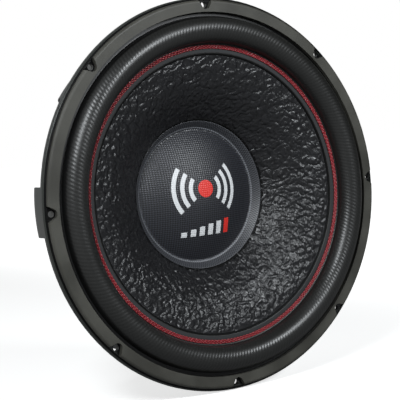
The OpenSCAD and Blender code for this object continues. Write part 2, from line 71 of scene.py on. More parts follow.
scene = bpy.context.scene
MM = 0.001

# ---- Studio ----
# The speaker stands on its edge on a white sweep, in front of a bright wall. Two softboxes light
# its front from above, one on each side of the camera, which looks into the cone from the left.
# The paper of the sweep glows as painted light: it sends light back from behind the speaker and from its
# left.

yaw, pitch, roll = math.radians(33.6), math.radians(2.7), math.radians(-5)
camera_distance, looked_at = 1.407, Vector((0, -6.1 * MM, 0))
towards_camera = Vector((
    -math.sin(yaw) * math.cos(pitch), -math.cos(yaw) * math.cos(pitch), math.sin(pitch)))
level_right = (-towards_camera).cross(Vector((0, 0, 1))).normalized()
level_up = level_right.cross(-towards_camera)
right = level_right * math.cos(roll) + level_up * math.sin(roll)
up = level_up * math.cos(roll) - level_right * math.sin(roll)
stand = Matrix.Translation(looked_at + towards_camera * camera_distance)
camera = bpy.data.objects.new("camera", bpy.data.cameras.new("camera"))
scene.collection.objects.link(camera)
camera.matrix_world = stand @ Matrix((right, up, towards_camera)).transposed().to_4x4()
camera.data.sensor_width = 36
camera.data.lens = 128.07
camera.data.shift_x, camera.data.shift_y = -0.05625, -0.0145
camera.data.clip_start, camera.data.clip_end = 0.05, 20
scene.camera = camera
scene.view_settings.view_transform = "Standard"


class Value:
    """One output of a node, so that plain arithmetic can be written with it."""

    def __init__(self, nodes, socket):
        self.nodes, self.socket = nodes, socket

    def sum(self, operation, *others):
        numbers = dict(enumerate((self, *others)))
        return self.nodes.add("ShaderNodeMath", {"operation": operation}, numbers)

    def __add__(self, other):
        return self.sum("ADD", other)

    def __mul__(self, other):
        return self.sum("MULTIPLY", other)

    def __sub__(self, other):
        return self.sum("SUBTRACT", other)

    def __truediv__(self, other):
        return self.sum("DIVIDE", other)

    def __rsub__(self, other):
        return self * -1 + other

    __radd__, __rmul__ = __add__, __mul__

    def wave(self):
        """Goes from -1 to 1 and back once for each whole number."""
        return (self * math.tau).sum("SINE")

    def size(self):
        """The number without its sign."""
        return self.sum("ABSOLUTE")

    def fade(self, low, high, start=0.0, end=1.0):
        """Turns softly from start at low to end at high."""
        return self.nodes.add("ShaderNodeMapRange", {"interpolation_type": "SMOOTHSTEP"},
            {0: self, 1: low, 2: high, 3: start, 4: end})


class Nodes:
    """The nodes of a finish or of the world."""

    def __init__(self, tree):
        self.tree = tree

    def give(self, socket, value):
        """Feeds a socket from another node's output, or sets it to a number or a colour."""
        if isinstance(value, Value):
            self.tree.links.new(value.socket, socket)
        elif isinstance(value, tuple) and socket.type == "RGBA" and len(value) == 3:
            socket.default_value = (*value, 1)
        else:
            socket.default_value = value

    def add(self, kind, settings={}, inputs={}, output=0):
        """A new node, given by the value of one of its outputs."""
        node = self.tree.nodes.new(kind)
        for key, value in settings.items():
            setattr(node, key, value)
        for key, value in inputs.items():
            self.give(node.inputs[key], value)
        return Value(self, node.outputs[output])


class Finish(Nodes):
    """A material made of one Principled shader and the nodes that vary it over a piece."""

    def __init__(self, name, colour, roughness, **fixed):
        self.material = bpy.data.materials.new(name)
        self.material.use_nodes = True
        super().__init__(self.material.node_tree)
        self.shader = self.tree.nodes["Principled BSDF"]
        self.colour, self.roughness = colour, roughness
        for key, value in fixed.items():
            self.give(self.shader.inputs[key.replace("_", " ").title().replace("Ior", "IOR")], value)

    def place(self, kind="Object"):
        """Where on the piece the finish is: its place, or its UV map."""
        return self.add("ShaderNodeTexCoord", output=kind)

    def parts(self, vector):
        """The three numbers of a vector, in metres for a place."""
        node = self.tree.nodes.new("ShaderNodeSeparateXYZ")
        self.give(node.inputs[0], vector)
        return [Value(self, socket) for socket in node.outputs]

    def vector(self, x, y, z):
        return self.add("ShaderNodeCombineXYZ", {}, {0: x, 1: y, 2: z})

    def polar(self):
        """Distance from the axis in millimetres, turns round the axis, and depth in millimetres."""
        x, y, z = self.parts(self.place())
        return ((x * x + z * z).sum("SQRT") * 1000, z.sum("ARCTAN2", x) / math.tau, y * 1000)

    def mottle(self, vector, scale, detail=2.0, roughness=0.5, distortion=0.0):
        """Soft irregular spots; scale is about how many there are in a metre."""
        return self.add("ShaderNodeTexNoise", {}, {"Vector": vector, "Scale": scale,
            "Detail": detail, "Roughness": roughness, "Distortion": distortion})

    def between(self, first, second, share):
        """The first colour where share is 0, the second where it is 1."""
        return self.add("ShaderNodeMix", {"data_type": "RGBA"}, {0: share, 6: first, 7: second}, 2)

    def relief(self, height, depth, on=None):
        """Bumps of the given depth in millimetres where height goes from 0 to 1."""
        inputs = {"Height": height, "Distance": depth * MM, "Strength": 1.0}
        if on is not None:
            inputs["Normal"] = on
        return self.add("ShaderNodeBump", {}, inputs)

    def done(self, relief=None):
        """Joins colour, roughness and relief to the shader."""
        self.give(self.shader.inputs["Base Color"], self.colour)
        self.give(self.shader.inputs["Roughness"], self.roughness)
        if relief is not None:
            self.give(self.shader.inputs["Normal"], relief)
        return self.material


def piece(name, mesh, material):
    """A finished mesh as an object of the scene."""
    data = bpy.data.meshes.new(name)
    mesh.to_mesh(data)
    mesh.free()
    thing = bpy.data.objects.new(name, data)
    scene.collection.objects.link(thing)
    data.materials.append(material)
    data.shade_smooth()
    return thing


paper_reach, paper_drop = 14, 0.6 * MM
paper_in_sight, paper_to_the_speaker = (0.65, 0.65, 0.64), (0.22, 0.22, 0.22)
glow_near, glow_far, spill_behind, spill_left = 0.67, 1.0, 0.38, 0.2
glowing_white_paper = Finish("glowing_white_paper", None, 0.8, emission_strength=1.0)
seen_straight = glowing_white_paper.add("ShaderNodeLightPath")
# Painted light: the camera sees a lighter paper than the speaker does.
glowing_white_paper.colour = glowing_white_paper.between(paper_to_the_speaker, paper_in_sight, seen_straight)
away, _, back = glowing_white_paper.polar()
leftwards = glowing_white_paper.parts(glowing_white_paper.place())[0] * -1
# Painted light: to the camera the paper glows brighter away from the speaker and is painted darker near it;
# towards the speaker it glows from behind and from the left.
glow = away.fade(350.0, 900.0, glow_near, glow_far)
spill = back.fade(150.0, 700.0, 0.0, spill_behind) + leftwards.fade(0.15, 0.6, 0.0, spill_left)
glowing_white_paper.give(glowing_white_paper.shader.inputs["Emission Color"], glowing_white_paper.between(
    glowing_white_paper.vector(spill, spill, spill), glowing_white_paper.vector(glow, glow, glow), seen_straight))
sweep = bmesh.new()
bmesh.ops.create_grid(sweep, x_segments=8, y_segments=8, size=paper_reach)
bmesh.ops.translate(sweep, verts=sweep.verts, vec=(0, 0, cad_box[0][2] - paper_drop))
piece("sweep", sweep, glowing_white_paper.done())

wall_direction, wall_starts, wall_ends = (-0.62, 0.78, 0), -0.1, 0.8
dark_room, bright_wall = 0.005, 0.6
world = scene.world or bpy.data.worlds.new("studio")
scene.world = world
world.use_nodes = True
air = Nodes(world.node_tree)
air.tree.nodes.clear()
direction = air.add("ShaderNodeTexCoord", output="Generated")
towards_wall = air.add("ShaderNodeVectorMath", {"operation": "DOT_PRODUCT"},
    {0: direction, 1: wall_direction}, "Value")
brightness = towards_wall.fade(wall_starts, wall_ends, dark_room, bright_wall)
light = air.add("ShaderNodeBackground", {}, {0: (0.95, 0.98, 1.0), 1: brightness})
backdrop = air.add("ShaderNodeBackground", {}, {0: (1.0, 1.0, 1.0)})
looked_through = air.add("ShaderNodeLightPath")
room = air.add("ShaderNodeMixShader", {}, {0: looked_through, 1: light, 2: backdrop})
air.give(air.tree.nodes.new("ShaderNodeOutputWorld").inputs[0], room)

softbox_side, daylight = 0.46, (0.93, 0.97, 1.0)


def softbox(name, place, power):
    """A square softbox aimed at the middle of the speaker's front."""
    lamp = bpy.data.lights.new(name, "AREA")
    lamp.shape, lamp.size, lamp.energy, lamp.color = "SQUARE", softbox_side, power, daylight
    thing = bpy.data.objects.new(name, lamp)
    scene.collection.objects.link(thing)
    aim = (-Vector(place)).to_track_quat("-Z", "Y")
    thing.matrix_world = Matrix.Translation(place) @ aim.to_matrix().to_4x4()


softbox("left_softbox", (-1.24, -1.16, 1.06), 31)
softbox("right_softbox", (0.6, -1.7, 0.88), 28)

# ---- Motor ----
# A forged back plate with its pole, two ferrite rings and a top plate, glued into one stack.
# The steel is turned and black-plated; the ferrite is a dull ceramic with ground faces.


def dress(names, material):
    """Gives pieces that came from the frame their finish."""
    for name in names:
        nodes[name].data.materials.clear()
        nodes[name].data.materials.append(material)


plate = Finish("black_plated_steel", None, None, metallic=0.85, specular_tint=(0.8, 0.85, 0.95, 1.0))
radius, _, depth = plate.polar()
tool_marks = plate.mottle(plate.vector(radius, depth * 0.4, 0.0), 2.4, 3.0, 0.7)
stains = plate.mottle(plate.place(), 40.0, 3.0)
plate.colour = plate.between((0.035, 0.037, 0.043), (0.075, 0.078, 0.086), stains.fade(0.3, 0.75))
plate.roughness = tool_marks.fade(0.2, 0.8, 0.24, 0.4) + stains.fade(0.3, 0.8, 0.0, 0.08)
dress(["yoke", "top_plate"], plate.done(plate.relief(tool_marks, 0.02)))

ferrite = Finish("ferrite", None, None)
grain = ferrite.mottle(ferrite.place(), 900.0, 3.0)
patches = ferrite.mottle(ferrite.place(), 55.0, 4.0)
ferrite.colour = ferrite.between((0.028, 0.028, 0.031), (0.06, 0.06, 0.064), patches.fade(0.25, 0.8))
ferrite.roughness = grain.fade(0.3, 0.7, 0.42, 0.6)
dress(["front_magnet", "rear_magnet"], ferrite.done(ferrite.relief(grain, 0.06)))

zinc = Finish("zinc_plating", None, None, metallic=1.0)
zinc_patches = zinc.mottle(zinc.place(), 260.0, 3.0)
zinc.colour = zinc.between((0.5, 0.5, 0.47), (0.72, 0.72, 0.7), zinc_patches)
zinc.roughness = zinc_patches.fade(0.25, 0.75, 0.24, 0.4)
zinc_plating = zinc.done(zinc.relief(zinc_patches, 0.02))
dress(["vent_screen", "basket_screws", "top_rivets", "bottom_rivets"], zinc_plating)

# ---- Basket ----
# The frame is one pressing of sheet steel: flange, wall, eight spokes with turned-in edges,
# the spiders' ledge and the neck. A thick black powder coat gives it a faint orange peel. On
# the face that the front gasket covers, seen in its notches, it is painted black as painted shade.

coat = Finish("powder_coat", None, None, specular_ior_level=0.45)
peel = coat.mottle(coat.place(), 700.0, 2.0, 0.5)
dust = coat.mottle(coat.place(), 18.0, 4.0)
radius, _, depth = coat.polar()
# Painted shade: the flange face under the front gasket, seen in its notches, is coloured near black and made
# a little glossier.
shade_under_gasket = radius.fade(190.6, 191.6, 1.0, 0.0) * depth.fade(-1.56, -1.4, 1.0, 0.0)
dusty = coat.between((0.018, 0.02, 0.017), (0.026, 0.028, 0.025), dust.fade(0.3, 0.7))
coat.colour = coat.between(dusty, (0.003, 0.003, 0.003), shade_under_gasket)
coat.roughness = dust.fade(0.3, 0.8, 0.3, 0.4) - shade_under_gasket * 0.18
dress(["basket"], coat.done(coat.relief(peel, 0.05)))

# ---- Terminals ----
# Each spring terminal is a phenolic board and a moulded housing riveted to a spoke, with tinned
# contacts that reach through to the inside, and a red and a black button.

board = Finish("phenolic_board", None, None)
fibres = board.mottle(board.place(), 500.0, 4.0, 0.7)
board.colour = board.between((0.05, 0.03, 0.016), (0.1, 0.062, 0.034), fibres)
board.roughness = fibres.fade(0.2, 0.8, 0.4, 0.6)
dress(["top_terminal_board", "bottom_terminal_board"], board.done(board.relief(fibres, 0.03)))


def moulded(name, colour, roughness):
    """Moulded plastic with the fine spark grain of its tool."""
    plastic = Finish(name, None, None)
    spark = plastic.mottle(plastic.place(), 1600.0, 2.0)
    flow = plastic.mottle(plastic.place(), 90.0, 2.0)
    plastic.colour = plastic.between(tuple(0.8 * c for c in colour), colour, flow.fade(0.3, 0.7))
    plastic.roughness = flow.fade(0.3, 0.7, roughness, roughness + 0.08)
    return plastic.done(plastic.relief(spark, 0.03))


black_plastic = moulded("black_plastic", (0.018, 0.018, 0.019), 0.38)
dress(["top_terminal_housing", "bottom_terminal_housing"], black_plastic)
dress(["top_black_button", "bottom_black_button"], black_plastic)
dress(["top_red_button", "bottom_red_button"], moulded("red_plastic", (0.5, 0.012, 0.016), 0.25))

tin = Finish("tinned_brass", None, None, metallic=1.0)
solder = tin.mottle(tin.place(), 420.0, 3.0)
tin.colour = tin.between((0.62, 0.55, 0.4), (0.78, 0.76, 0.7), solder.fade(0.35, 0.6))
tin.roughness = solder.fade(0.3, 0.7, 0.22, 0.38)
dress(["top_contacts", "bottom_contacts"], tin.done(tin.relief(solder, 0.03)))

sheet, shoulder_r, shoulder_depth, spoke_slope = 1.6, 175.9, 55, math.atan2(45, 69.9)
terminal_r, button_across = 144.45, 9
terminal_depth = shoulder_depth + (shoulder_r - terminal_r) * math.tan(spoke_slope)
terminal_sides = (("top", math.radians(270)), ("bottom", math.radians(90)))


def beside_spoke(side, r, across, depth):
    """A point in millimetres: so far from the axis along a spoke's angle, and so far across it."""
    return Vector((r * math.cos(side) - across * math.sin(side), depth,
        -r * math.sin(side) - across * math.cos(side)))


def on_spoke(side, uphill, across, outwards):
    """A point on the outside of a spoke's slope, all in millimetres; side is the spoke's angle."""
    r = terminal_r + uphill * math.cos(spoke_slope) + (outwards + sheet) * math.sin(spoke_slope)
    d = terminal_depth - uphill * math.sin(spoke_slope) + (outwards + sheet) * math.cos(spoke_slope)
    return beside_spoke(side, r, across, d)


def hose(mesh, route, radius, sides):
    """Pushes a ring of the given radius along a route; everything is in millimetres."""
    ring = place = None
    across = Vector((0.3, 0.5, 0.8))
    for i, here in enumerate(route):
        facing = (route[min(i + 1, len(route) - 1)] - route[max(i - 1, 0)]).normalized()
        across = (across - facing * across.dot(facing)).normalized()
        turn = Matrix((across, facing.cross(across), facing)).transposed().to_4x4()
        now = Matrix.Translation(here * MM) @ turn
        if ring is None:
            made = bmesh.ops.create_circle(
                mesh, cap_ends=True, radius=radius * MM, segments=sides, matrix=now)
            ring = list(dict.fromkeys(edge for point in made["verts"] for edge in point.link_edges))
        else:
            made = bmesh.ops.extrude_edge_only(mesh, edges=ring)["geom"]
            points = [part for part in made if isinstance(part, bmesh.types.BMVert)]
            ring = [part for part in made if isinstance(part, bmesh.types.BMEdge)
                and all(end in points for end in part.verts)]
            bmesh.ops.transform(mesh, matrix=now @ place.inverted(), verts=points)
        place = now
    bmesh.ops.edgeloop_fill(mesh, edges=ring)


spring_foot, spring_head, spring_r, spring_turns, spring_wire_r = 2.45, 8.75, 3.85, 3, 0.35
turn_steps = 24
for word, side in terminal_sides:
    red_across = -button_across if word == "top" else button_across
    for colour, across in (("red", red_across), ("black", -red_across)):
        coil = []
        for i in range(turn_steps * spring_turns + 1):
            turn = math.tau * i / turn_steps
            height = spring_foot + (spring_head - spring_foot) * i / (turn_steps * spring_turns)
            coil.append(on_spoke(
                side, spring_r * math.cos(turn), across + spring_r * math.sin(turn), height))
        spring_mesh = bmesh.new()
        hose(spring_mesh, coil, spring_wire_r, 8)
        bmesh.ops.recalc_face_normals(spring_mesh, faces=spring_mesh.faces)
        spring = piece(f"{word}_{colour}_spring", spring_mesh, zinc_plating)
        foot, head = (on_spoke(side, 0, across, level) * MM for level in (spring_foot, spring_head))
        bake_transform(spring, "frame", f"{word}_{colour}_push", foot, head)
        # A pressed spring's turns stay evenly spaced.
        spring.data.attributes["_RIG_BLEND"].data.foreach_set("value", [
            min(1, max(0, (point.co - foot).dot(head - foot) / (head - foot).length_squared))
            for point in spring.data.vertices])
        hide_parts(f"{word}_springs")

# ---- Voice coil ----
# A black anodised former carries two layers of enamelled copper wire, and a kraft-paper
# collar takes the glue of the cone and the spiders.

anodised = Finish("anodised_former", None, None, metallic=1.0)
scuffs = anodised.mottle(anodised.place(), 160.0, 3.0)
anodised.colour = anodised.between((0.02, 0.02, 0.022), (0.045, 0.045, 0.05), scuffs)
anodised.roughness = scuffs.fade(0.3, 0.7, 0.28, 0.42)
dress(["coil_former"], anodised.done())

kraft = Finish("kraft_paper", None, None)
pulp_fibre = kraft.mottle(kraft.place(), 380.0, 4.0, 0.7)
kraft.colour = kraft.between((0.36, 0.22, 0.11), (0.52, 0.36, 0.2), pulp_fibre)
kraft.roughness = pulp_fibre.fade(0.2, 0.8, 0.6, 0.8)
dress(["coil_collar"], kraft.done(kraft.relief(pulp_fibre, 0.05)))

copper = Finish("enamelled_copper", None, None, metallic=1.0)
wire_pitch = 0.36
winding = (copper.polar()[2] / wire_pitch).wave()
copper.colour = copper.between((0.55, 0.2, 0.07), (0.78, 0.36, 0.16), winding.fade(-1.0, 1.0))
copper.roughness = winding.fade(-1.0, 1.0, 0.35, 0.22)
dress(["inner_winding", "outer_winding"], copper.done(copper.relief(winding * 0.5 + 0.5, 0.1)))

# ---- Spiders ----
# Two discs of cotton cloth, dipped in resin and pressed hot into round waves, with a fibre
# ring between them. They centre the coil and bend with every stroke.

cloth = Finish("spider_cloth", None, None)
cloth_yarn = 0.55 * MM
cloth_x, _, cloth_z = cloth.parts(cloth.place())
warp, weft = (cloth_x / cloth_yarn).wave(), (cloth_z / cloth_yarn).wave()
resin = cloth.mottle(cloth.place(), 30.0, 3.0)
cloth.colour = cloth.between((0.32, 0.17, 0.035), (0.5, 0.31, 0.09),
    resin * 0.7 + (warp * weft).fade(-1.0, 1.0, 0.0, 0.3))
cloth.roughness = resin.fade(0.3, 0.7, 0.5, 0.7)
resined_cloth = cloth.done(cloth.relief(warp * weft * 0.5 + 0.5, 0.12))


def turned(profile, steps, closed=False):
    """Spins a line of (radius, depth) in millimetres round the speaker's axis.
    Each point remembers how far along the line it lies."""
    mesh = bmesh.new()
    along = mesh.verts.layers.float.new("along")
    points = [mesh.verts.new((r * MM, d * MM, 0)) for r, d in profile]
    travelled = 0.0
    for before, point in zip([points[0], *points], points):
        travelled += (point.co - before.co).length / MM
        point[along] = travelled
    pairs = list(zip(points, points[1:] + points[:1] if closed else points[1:]))
    edges = [mesh.edges.new(pair) for pair in pairs]
    bmesh.ops.spin(mesh, geom=points + edges, axis=(0, 1, 0), cent=(0, 0, 0), angle=math.tau,
        steps=steps, use_merge=True)
    bmesh.ops.remove_doubles(mesh, verts=mesh.verts, dist=1e-7)
    bmesh.ops.recalc_face_normals(mesh, faces=mesh.faces)
    return mesh


def out_from_axis(point):
    """Distance from the speaker's axis in millimetres."""
    return math.hypot(point.x, point.z) / MM


def ease(value, start, end):
    """Goes softly from 0 at start to 1 at end."""
    value = min(1, max(0, (value - start) / (end - start)))
    return value * value * (3 - 2 * value)


def bend_with_cone(thing, share):
    """Bends a piece between frame and cone; share(radius) is 1 where it follows the cone."""
    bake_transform(thing, "frame", "moving_cone", (0.177, 0, 0), (0.153, 0, 0))
    weights = [share(out_from_axis(point.co)) for point in thing.data.vertices]
    thing.data.attributes["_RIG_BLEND"].data.foreach_set("value", weights)


spider_out, wave_out, wave_in, spider_in = 100.0, 89.4, 44.5, 39.1
waves, wave_height, wave_steps, cloth_skin = 6, 2.6, 60, 0.6
for node, level in (("front_spider", 90.1), ("rear_spider", 99.7)):
    line = [(spider_out, level), (94.0, level)]
    for i in range(wave_steps + 1):
        line.append((wave_out + (wave_in - wave_out) * i / wave_steps,
            level - wave_height * math.sin(math.tau * waves * i / wave_steps)))
    line += [(spider_in + 1.6, level), (spider_in + 0.3, level + 0.5), (spider_in, level + 2.4)]
    spider = piece(f"{node}_waves", turned(line, 192), resined_cloth)
    bend_with_cone(spider, lambda r: 1 - ease(r, wave_in, wave_out))
    cloth_thickness = spider.modifiers.new("cloth_thickness", "SOLIDIFY")
    cloth_thickness.thickness, cloth_thickness.offset = cloth_skin * MM, 0.0
    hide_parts(node)

fibre = Finish("fibre_ring", None, None)
fibre_flecks = fibre.mottle(fibre.place(), 240.0, 4.0)
fibre.colour = fibre.between((0.13, 0.08, 0.042), (0.24, 0.15, 0.085), fibre_flecks)
fibre.roughness = fibre_flecks.fade(0.2, 0.8, 0.7, 0.85)
dress(["spider_spacer"], fibre.done(fibre.relief(fibre_flecks, 0.08)))

# ---- Leads ----
# Four braided copper leads run from the collar over the front spider to the terminals' tags.
# Each has three twisted strands, soldered to its tag and held on the collar by a dab of epoxy.

braid = Finish("copper_braid", None, None, metallic=0.9)
plait = braid.mottle(braid.place(), 1500.0, 2.0)
braid.colour = braid.between((0.5, 0.22, 0.1), (0.75, 0.42, 0.24), plait)
braid.roughness = plait.fade(0.2, 0.8, 0.3, 0.5)
twisted_braid = braid.done(braid.relief(plait, 0.15))

solder_tin = Finish("solder", None, None, metallic=1.0)
solder_skin = solder_tin.mottle(solder_tin.place(), 600.0, 2.0)
solder_tin.colour = solder_tin.between((0.5, 0.5, 0.5), (0.7, 0.7, 0.69), solder_skin)
solder_tin.roughness = solder_skin.fade(0.3, 0.7, 0.18, 0.35)
bright_solder = solder_tin.done(solder_tin.relief(solder_skin, 0.1))

# Painted shade: this near-black, dull adhesive makes the beads at the lip, the cap and the front gasket read
# as the shaded grooves there; they are partly glue.
adhesive = Finish("shadow_black_adhesive", (0.0015, 0.0015, 0.0015), None, specular_ior_level=0.12)
adhesive.roughness = adhesive.mottle(adhesive.place(), 200.0, 2.0).fade(0.3, 0.7, 0.5, 0.65)
shadow_dull_adhesive = adhesive.done()

epoxy = Finish("black_epoxy", None, None, specular_ior_level=0.6)
epoxy_skin = epoxy.mottle(epoxy.place(), 120.0, 3.0)
epoxy.colour = epoxy.between((0.006, 0.006, 0.007), (0.012, 0.012, 0.013), epoxy_skin)
epoxy.roughness = epoxy_skin.fade(0.3, 0.7, 0.12, 0.3)
glossy_epoxy = epoxy.done(epoxy.relief(epoxy_skin, 0.15))


def smoothed(corners, steps):
    """A smooth line through its corners, with so many points from each to the next."""
    line = []
    padded = [corners[0] * 2 - corners[1], *corners, corners[-1] * 2 - corners[-2]]
    for a, b, c, d in zip(padded, padded[1:], padded[2:], padded[3:]):
        for t in (i / steps for i in range(steps)):
            line.append(0.5 * (2 * b + (c - a) * t + (2 * a - 5 * b + 4 * c - d) * t ** 2
                + (3 * b - a - 3 * c + d) * t ** 3))
    return line + [corners[-1]]


def blob(mesh, place, size):
    """An uneven dab of solder or glue, in millimetres."""
    made = bmesh.ops.create_icosphere(mesh, subdivisions=3, radius=1.0)["verts"]
    bmesh.ops.scale(mesh, verts=made, vec=Vector(size) * MM)
    for point in made:
        point.co *= 1 + 0.12 * noise.noise(point.co / MM * 0.9 + place)
    bmesh.ops.translate(mesh, verts=made, vec=place * MM)


lead_route = ((38.4, 86.1), (52, 86.1), (66, 86.1), (80, 86.1), (96, 86.1), (103, 85.5),
    (109, 83.7), (121.3, 79.3), (126.3, 77.8))
strands, strand_r, strand_offset, points_per_twist = 3, 0.4, 0.42, 14
lead_solder, lead_glue = bmesh.new(), bmesh.new()
for word, side in terminal_sides:
    lead_mesh = bmesh.new()
    sideways = Vector((math.sin(side), 0, math.cos(side)))
    for across in (-button_across, button_across):
        corners = [beside_spoke(side, r, across, d) for r, d in lead_route]
        line = smoothed(corners, 16)
        for strand in range(strands):
            twisted = []
            for i, here in enumerate(line):
                facing = (line[min(i + 1, len(line) - 1)] - line[max(i - 1, 0)]).normalized()
                twist = math.tau * (i / points_per_twist + strand / strands)
                twisted.append(here + strand_offset * (
                    sideways * math.cos(twist) + facing.cross(sideways) * math.sin(twist)))
            hose(lead_mesh, twisted, strand_r, 6)
        blob(lead_solder, corners[-1], (1.7, 1.5, 1.7))
        blob(lead_glue, corners[0], (2.2, 2.0, 2.2))
    bmesh.ops.recalc_face_normals(lead_mesh, faces=lead_mesh.faces)
    lead = piece(f"{word}_twisted_leads", lead_mesh, twisted_braid)
    bend_with_cone(lead, lambda r: 1 - ease(r, wave_in, wave_out))
    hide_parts(f"{word}_leads")
solder_dabs = piece("lead_solder", lead_solder, bright_solder)
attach(solder_dabs, "frame")
glue_dabs = piece("lead_glue", lead_glue, glossy_epoxy)
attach(glue_dabs, "moving_cone")

# ---- Cone ----
# The cone is pressed paper pulp with a glossy black coat. Its front is crumpled all over like
# foil, in lumps a few millimetres wide, and it flares out to a flat edge under the surround.

cone_edge, flare_edge, crease, neck = 149.5, 148.5, 67.0, 38.65
edge_depth, pulp_thickness, neck_slope = 1.5, 1.1, math.radians(53.807)
flare = (flare_edge - crease) / math.sin(neck_slope)
crumple_in, crumple_out, crumple_margin = 73, 138.3, 3
crumple_height, crumple_sink, crumple_seed = 1.9, 0.8, 7
noise.seed_set(crumple_seed)


def cone_depth(r):
    """Depth of the cone's front face at a distance from the axis, in millimetres."""
    if r >= flare_edge:
        return edge_depth
    if r >= crease:
        return edge_depth + flare * (1 - math.cos(math.asin((flare_edge - r) / flare)))
    return cone_depth(crease) + (crease - r) * math.tan(neck_slope)


def face_depth(r):
    """Depth of the front face with its slight hollow, 2 mm deep, round the dust cap."""
    return cone_depth(r) + 2.0 * ease(r, 46, 68) * (1 - ease(r, 78, 112))


def crumple(point):
    """Height of the pressed lumps, from 0 in the creases to about 1: a slow roll of 5 mm, folds
    of 7 mm with narrow creases between them, and small wrinkles of 3.6 mm."""
    here = point / MM
    bent = here + 2.6 * noise.noise_vector(here / 7)
    rolling = noise.noise(bent / 5.0 + Vector((5, 40, 9)))
    folds = ease(abs(noise.noise(bent / 7.0)), 0, 0.18)
    wrinkles = ease(abs(noise.noise(bent / 3.6 + Vector((31, 7, 12)))), 0, 0.24)
    return 0.42 * rolling + 0.42 * folds + 0.2 * wrinkles


pulp = Finish("coated_pulp", None, None, specular_ior_level=0.42)
pulp_place = pulp.place()
fleck = pulp.mottle(pulp_place, 420.0, 3.0, 0.6, 0.4)
pores = pulp.mottle(pulp_place, 1400.0, 2.0)
pulp.colour = pulp.between((0.005, 0.005, 0.0055), (0.011, 0.011, 0.0125), fleck)
pulp.roughness = fleck.fade(0.25, 0.75, 0.26, 0.4)
coated_pulp = pulp.done(pulp.relief(pores, 0.05, on=pulp.relief(fleck, 0.4)))

face_starts, face_ends, face_rings, back_rings, cone_steps = 72, 138.4, 84, 16, 840
face = [(neck, cone_depth(neck))] + [(r, face_depth(r)) for r in (46, 50, 54, 58, 62, crease)]
for i in range(face_rings + 1):
    r = face_starts + (face_ends - face_starts) * i / face_rings
    face.append((r, face_depth(r)))
face += [(141, cone_depth(141)), (145, cone_depth(145))]
face += [(flare_edge, edge_depth), (cone_edge, edge_depth)]
back = [(cone_edge, edge_depth + pulp_thickness)]
for i in range(back_rings + 1):
    r = flare_edge - (flare_edge - crease) * i / back_rings
    lean = (flare_edge - r) / flare
    back.append((r - pulp_thickness * lean, face_depth(r) + pulp_thickness * math.sqrt(1 - lean ** 2)))
back += [(r, face_depth(r) + 1.8) for r in (60, 54, 46)]
back += [(neck + pulp_thickness * math.sin(neck_slope), cone_depth(neck) + 2.9)]
back += [(neck, cone_depth(neck) + 3)]
cone_mesh = turned(face + back, cone_steps, closed=True)
cone_mesh.normal_update()
lifts = []
for point in cone_mesh.verts:
    r = out_from_axis(point.co)
    if crumple_in < r < crumple_out and point.co.y / MM < face_depth(r) + 0.3:
        share = min(1, (r - crumple_in) / crumple_margin, (crumple_out - r) / crumple_margin)
        height = (crumple(point.co) * crumple_height - crumple_sink) * share
        lifts.append((point, point.normal * height * MM))
for point, lift in lifts:
    point.co += lift
cone = piece("cone_shell", cone_mesh, coated_pulp)
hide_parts("cone")
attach(cone, "moving_cone")

# ---- Surround ----
# A half-round roll of rubber, moulded over a diagonal weave that shows through its skin. Its
# outer edge is glued into the flange's seat and its lip onto the cone, where a near-black bead
# of the adhesive shows, standing partly for the shaded groove there as painted shade.

roll_radius, roll_depth, roll_height, roll_steps, skin = 162.9, -3.5, 12.4, 40, 0.9
lip_ends, strokes_round, cross_strokes_round, stroke_run, cross_stroke_run = 140.0, 284, 142, 9, 5


def wrap(mesh):
    """Lays a UV map round a turned mesh: turns across, millimetres along its profile."""
    along = mesh.verts.layers.float["along"]
    layer = mesh.loops.layers.uv.new("round_and_along")
    for patch in mesh.faces:
        middle = patch.calc_center_median()
        centre = math.atan2(middle.z, middle.x) / math.tau
        for corner in patch.loops:
            turn = math.atan2(corner.vert.co.z, corner.vert.co.x) / math.tau
            corner[layer].uv = (turn + round(centre - turn), corner.vert[along])


def within(value, middle, half):
    """1 where the value lies within half of the middle, and 0 beyond it."""
    return (value - middle).size().fade(half - 0.15, half + 0.15, 1.0, 0.0)


rubber = Finish("woven_rubber", None, None, specular_ior_level=0.5)
lap, run, _ = rubber.parts(rubber.place("UV"))
radius = rubber.polar()[0]
one_way = (lap * strokes_round - run / stroke_run).wave()
other_way = (lap * cross_strokes_round + run / cross_stroke_run).wave()
on_roll = radius.fade(148.6, 150.2) * radius.fade(174.6, 175.6, 1.0, 0.0)
weave = (one_way * 0.4 + other_way * 0.05) * on_roll.fade(0.0, 1.0, 0.1, 1.0) + 0.5
smudge = rubber.mottle(rubber.place(), 14.0, 3.0)
woven = rubber.between((0.009, 0.009, 0.0083), (0.014, 0.014, 0.0133), weave)
# Painted sheen: the lip ring is painted a lighter, bluish grey.
with_lip_sheen = rubber.between(woven, (0.014, 0.015, 0.017), within(radius, 142.3, 1.2))
# Painted shade: towards the outer foot, under the gasket's edge, the rubber is painted black.
rubber.colour = rubber.between(with_lip_sheen, (0.001, 0.001, 0.001), radius.fade(173.4, 174.8))
rubber.roughness = smudge.fade(0.3, 0.7, 0.34, 0.4) + on_roll.fade(0.0, 1.0, 0.1, 0.0)
woven_rubber = rubber.done(rubber.relief(weave, 0.11))

